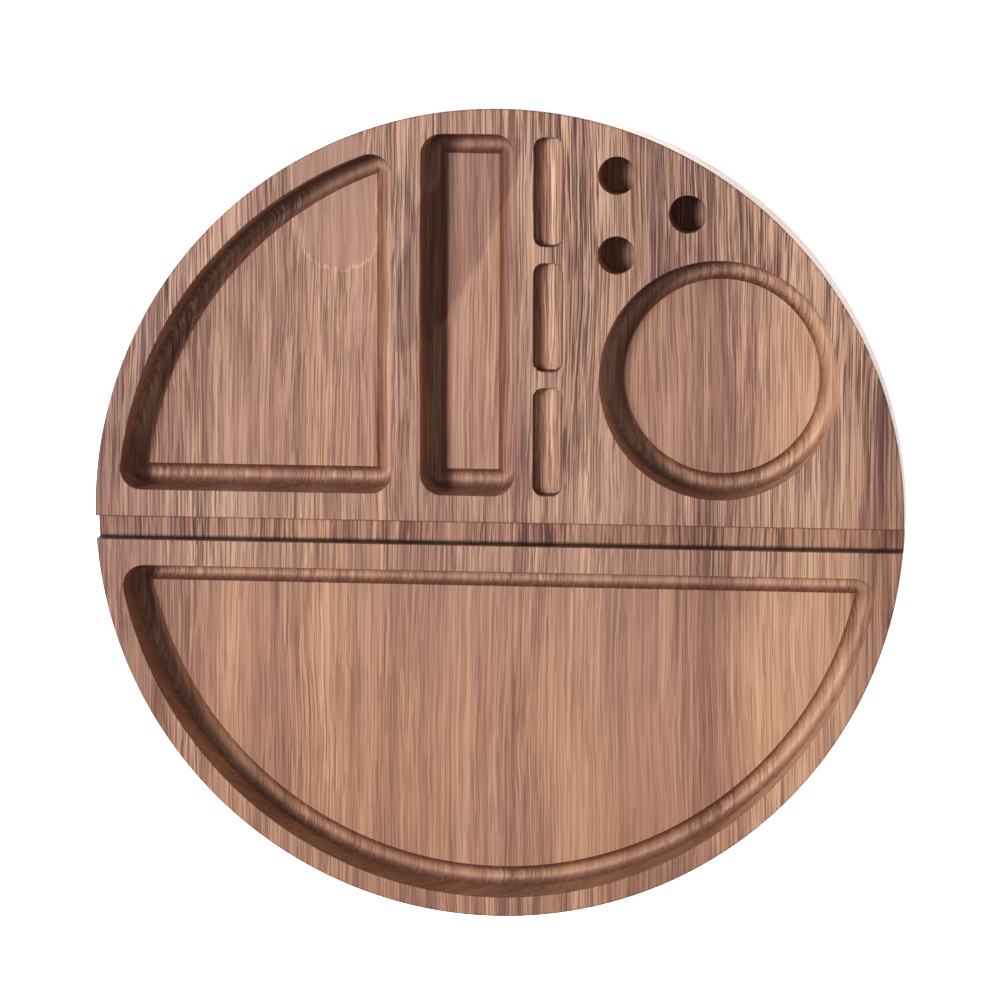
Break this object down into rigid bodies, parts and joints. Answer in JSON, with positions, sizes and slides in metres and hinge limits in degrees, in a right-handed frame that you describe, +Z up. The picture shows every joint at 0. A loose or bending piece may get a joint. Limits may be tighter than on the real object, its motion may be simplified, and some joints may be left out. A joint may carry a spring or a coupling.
{
  "type": "poker chip carousel",
  "caption": "Round milled walnut tray with chip slots, pockets, a cup recess and a card groove, turning on a hidden ball-race base.",
  "frame": {"origin": "centre of the footprint, on the surface the feet stand on, on the turning axis", "axes": "+Z up along the turning axis; +Y from the half-moon pocket towards the chip slots; grain runs along Y"},
  "size_m": [0.3, 0.3, 0.049],
  "materials": {
    "walnut": "oiled walnut, satin, grain along Y",
    "zinc": "zinc-plated pressed steel",
    "steel": "bright steel",
    "brass": "turned brass",
    "nylon": "natural white nylon",
    "rubber": "black rubber"
  },
  "bodies": {
    "base": {"base_disc": "walnut", "lower_race_ring": "zinc", "pivot_bush": "nylon", "lower_race_screw_1": "steel", "lower_race_screw_2": "steel", "lower_race_screw_3": "steel", "lower_race_screw_4": "steel", "rubber_foot_1": "rubber", "rubber_foot_2": "rubber", "rubber_foot_3": "rubber", "rubber_foot_4": "rubber", "foot_screw_1": "steel", "foot_screw_2": "steel", "foot_screw_3": "steel", "foot_screw_4": "steel"},
    "tray": {"tray_board": "walnut", "upper_race_ring": "zinc", "pivot_bolt": "steel", "thrust_washer": "steel", "threaded_insert": "brass", "upper_race_screw_1": "steel", "upper_race_screw_2": "steel", "upper_race_screw_3": "steel", "upper_race_screw_4": "steel", "upper_race_screw_5": "steel", "upper_race_screw_6": "steel"},
    "cage": {"ball_cage": "nylon", "bearing_ball_01": "steel", "bearing_ball_02": "steel", "bearing_ball_03": "steel", "bearing_ball_04": "steel", "bearing_ball_05": "steel", "bearing_ball_06": "steel", "bearing_ball_07": "steel", "bearing_ball_08": "steel", "bearing_ball_09": "steel", "bearing_ball_10": "steel", "bearing_ball_11": "steel", "bearing_ball_12": "steel"}
  },
  "joints": [
    {"name": "tray_turn", "type": "hinge", "parent": "base", "child": "tray", "pos_m": [0, 0, 0.019], "axis": [0, 0, 1], "continuous": true},
    {"name": "cage_turn", "type": "hinge", "parent": "base", "child": "cage", "pos_m": [0, 0, 0.019], "axis": [0, 0, 1], "continuous": true}
  ],
  "couplings": [
    {"joint": "cage_turn", "follows": "tray_turn", "ratio": 0.5}
  ]
}
